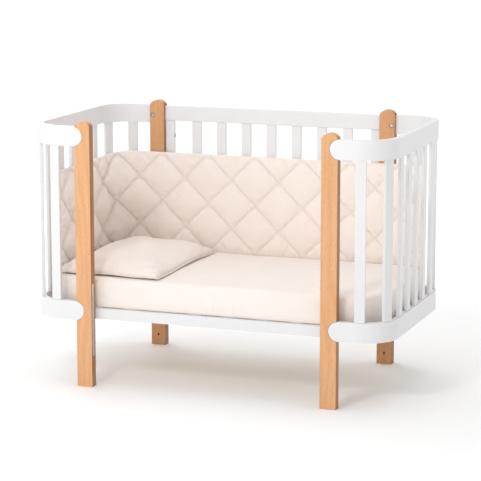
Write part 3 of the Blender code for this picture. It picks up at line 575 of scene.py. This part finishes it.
def make_mattress():
    made = nodes["mattress"].copy()
    made.data = nodes["mattress"].data.copy()
    made.name = "mattress_sheeted"
    scene.collection.objects.link(made)
    made.data.materials.clear()
    made.data.materials.append(sheet_cotton)
    remesh = made.modifiers.new("remesh", "REMESH")
    remesh.mode = "VOXEL"
    remesh.voxel_size = 0.005
    smooth = made.modifiers.new("smooth", "SMOOTH")
    smooth.iterations = 6
    smooth.factor = 0.5
    graph = bpy.context.evaluated_depsgraph_get()
    mesh = bpy.data.meshes.new_from_object(made.evaluated_get(graph))
    made.modifiers.clear()
    made.data = mesh
    co = points_of(made)
    normals = np.zeros(len(co) * 3)
    mesh.vertices.foreach_get("normal", normals)
    normals = normals.reshape(-1, 3)
    # The sides bulge a little, and the top rises from its edge
    up = (co[:, 2] - mattress_low.z) / (mattress_high.z - mattress_low.z)
    flatness = np.abs(normals[:, 2])
    bulge = SIDE_BULGE * np.sin(math.pi * np.clip(up, 0, 1)) * (1 - flatness)
    lift = bulge + creases(co)
    co = co + normals * lift[:, None]
    # The sheet hangs nearly straight down to the base instead of turning under
    below = np.clip(HEM_RADIUS - (co[:, 2] - mattress_low.z), 0, HEM_RADIUS)
    steepness = np.linalg.norm(normals[:, :2], axis=1)
    level = normals[:, :2] / np.maximum(steepness, 1e-6)[:, None]
    out = 0.9 * (HEM_RADIUS - np.sqrt(HEM_RADIUS ** 2 - below ** 2)) * smoothstep(steepness, 0.1, 0.4)
    co[:, :2] += level * out[:, None]
    co[:, 2] = np.clip(co[:, 2], mattress_low.z, mattress_high.z + 0.0004)
    set_points(made, co)
    mesh.shade_smooth()
    return made


sheet_cotton = cotton_material("sheet_cotton", (0.92, 0.845, 0.79), (0.905, 0.83, 0.775))
mattress = make_mattress()
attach(mattress, "mattress")
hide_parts("mattress")


# Pillow: two panels sewn together round their edges, inflated, then flattened where they lie down
pillow_low, pillow_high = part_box("pillow")
SEAM_HEIGHT = 0.0065   # of the sewn seam over the mattress
SEAM_ROOM = 0.014      # taken off the pillow's height for the seam, its folds and slack
RESTING_GAP = 0.0004


def make_pillow():
    across, along = ((56, 78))
    half_x = (pillow_high.x - pillow_low.x) / 2
    half_y = (pillow_high.y - pillow_low.y) / 2
    middle_x = (pillow_low.x + pillow_high.x) / 2
    middle_y = (pillow_low.y + pillow_high.y) / 2
    thick = pillow_high.z - pillow_low.z
    i, j = np.meshgrid(np.arange(across + 1), np.arange(along + 1), indexing="ij")
    u, v = 2 * i / across - 1, 2 * j / along - 1
    # The seam pulls in between its corners, and wanders a little
    side_x = half_x * (1 - 0.045 * (1 - v ** 2) + 0.006 * np.sin(9 * v + 0.7))
    side_y = half_y * (1 - 0.035 * (1 - u ** 2) + 0.005 * np.sin(8 * u + 0.3))
    start = 0.12 * thick * np.sqrt((1 - u ** 6) * (1 - v ** 6))
    top = np.stack([u * side_x, v * side_y, start], -1).reshape(-1, 3)
    index = np.arange((across + 1) * (along + 1)).reshape(across + 1, along + 1)
    on_rim = (i == 0) | (i == across) | (j == 0) | (j == along)
    under = index.copy()
    under[~on_rim] = index.size + np.arange((~on_rim).sum())
    below = top[(~on_rim).ravel()] * (1, 1, -1)
    points = np.concatenate([top, below])
    quads = []
    for layer, flip in ((index, False), (under, True)):
        quads += [tuple(row[::-1]) if flip else tuple(row) for row in grid_quads(layer)]
    made = new_object("pillow_sewn", points, quads, pillow_cotton)
    pinned = np.zeros(len(points))
    pinned[index[on_rim]] = 1.0
    settled = run_cloth(made, pinned, 24, 4.0, stretch=0.015, stiffness=10, bending=0.8)
    # Full on top and flat underneath, where it lies on the mattress
    z = settled[:, 2]
    u_all = np.concatenate([u.ravel(), u[~on_rim]])
    v_all = np.concatenate([v.ravel(), v[~on_rim]])
    corner = np.abs(u_all * v_all) ** 3
    seam_z = SEAM_HEIGHT - 0.002 * corner + 0.0018 * np.sin(7 * u_all + 5 * v_all)
    is_top = np.arange(len(z)) < index.size
    rise = np.where(is_top, np.clip(z / z.max(), 0, 1), 0) ** 0.62
    sink = np.where(is_top, 0, np.clip(-z / -z.min(), 0, 1))
    underside = seam_z * (1 - np.clip(sink * 3.0, 0, 1) ** 0.6)
    height = np.where(is_top, seam_z + (thick - SEAM_ROOM) * rise, underside)
    # Small folds at the front left corner, slack all over and a dent along the front
    fold = 0.0026 * np.sin(30 * (u_all * 0.9 + v_all * 0.3)) * np.exp(-((u_all + 0.62) / 0.25) ** 2)
    fold = fold * np.exp(-((v_all + 0.80) / 0.22) ** 2)
    slack = 0.0012 * np.sin(5 * u_all - 4 * v_all) + 0.0008 * np.sin(9 * u_all + 7 * v_all)
    dent_across = (u_all + 0.36 - 0.5 * (v_all + 0.9)) / 0.17
    dent_along = (v_all + 0.88) / 0.075
    dent = 0.016 * np.exp(-dent_across ** 2 - dent_along ** 2)
    inside = np.clip(rise * 2, 0, 1)
    height = height + (fold + slack) * inside - dent * inside
    settled[:, 0] += middle_x
    settled[:, 1] += middle_y
    settled[:, 2] = pillow_low.z + RESTING_GAP + np.maximum(height, 0)
    set_points(made, settled)
    return made, [settled[k] for k in rim_order(index)]


def make_flange(path):
    """The narrow sewn lip that stands out of the pillow's seam."""
    path = np.array(path)
    ahead = np.roll(path, -1, axis=0) - np.roll(path, 1, axis=0)
    ahead = ahead / np.linalg.norm(ahead, axis=1)[:, None]
    out = np.stack([ahead[:, 1], -ahead[:, 0], np.zeros(len(path))], -1)
    for _ in range(2):
        out = (np.roll(out, 1, axis=0) + 2 * out + np.roll(out, -1, axis=0)) / 4
    out = out / np.linalg.norm(out, axis=1)[:, None]
    rows = []
    for reach, rise in ((-0.004, 0.0011), (0.0015, 0.0009), (0.0042, 0.0005), (0.0046, 0.0),
                        (0.0042, -0.0005), (0.0015, -0.0009), (-0.004, -0.0011)):
        rows.append(path + out * reach + (0, 0, rise))
    count = len(path)
    points = np.concatenate(rows)
    faces = []
    for r in range(len(rows)):
        a, b = r * count, (r + 1) % len(rows) * count
        faces += [(a + k, a + (k + 1) % count, b + (k + 1) % count, b + k) for k in range(count)]
    lip = new_object("pillow_flange", points, faces, pillow_cotton)
    lip.data.flip_normals()
    return lip


pillow_cotton = cotton_material("pillow_cotton", (0.90, 0.81, 0.75), (0.885, 0.795, 0.735))
pillow, pillow_rim = make_pillow()
flange = make_flange(pillow_rim)
flange.parent = pillow
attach(pillow, "pillow")
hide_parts("pillow")
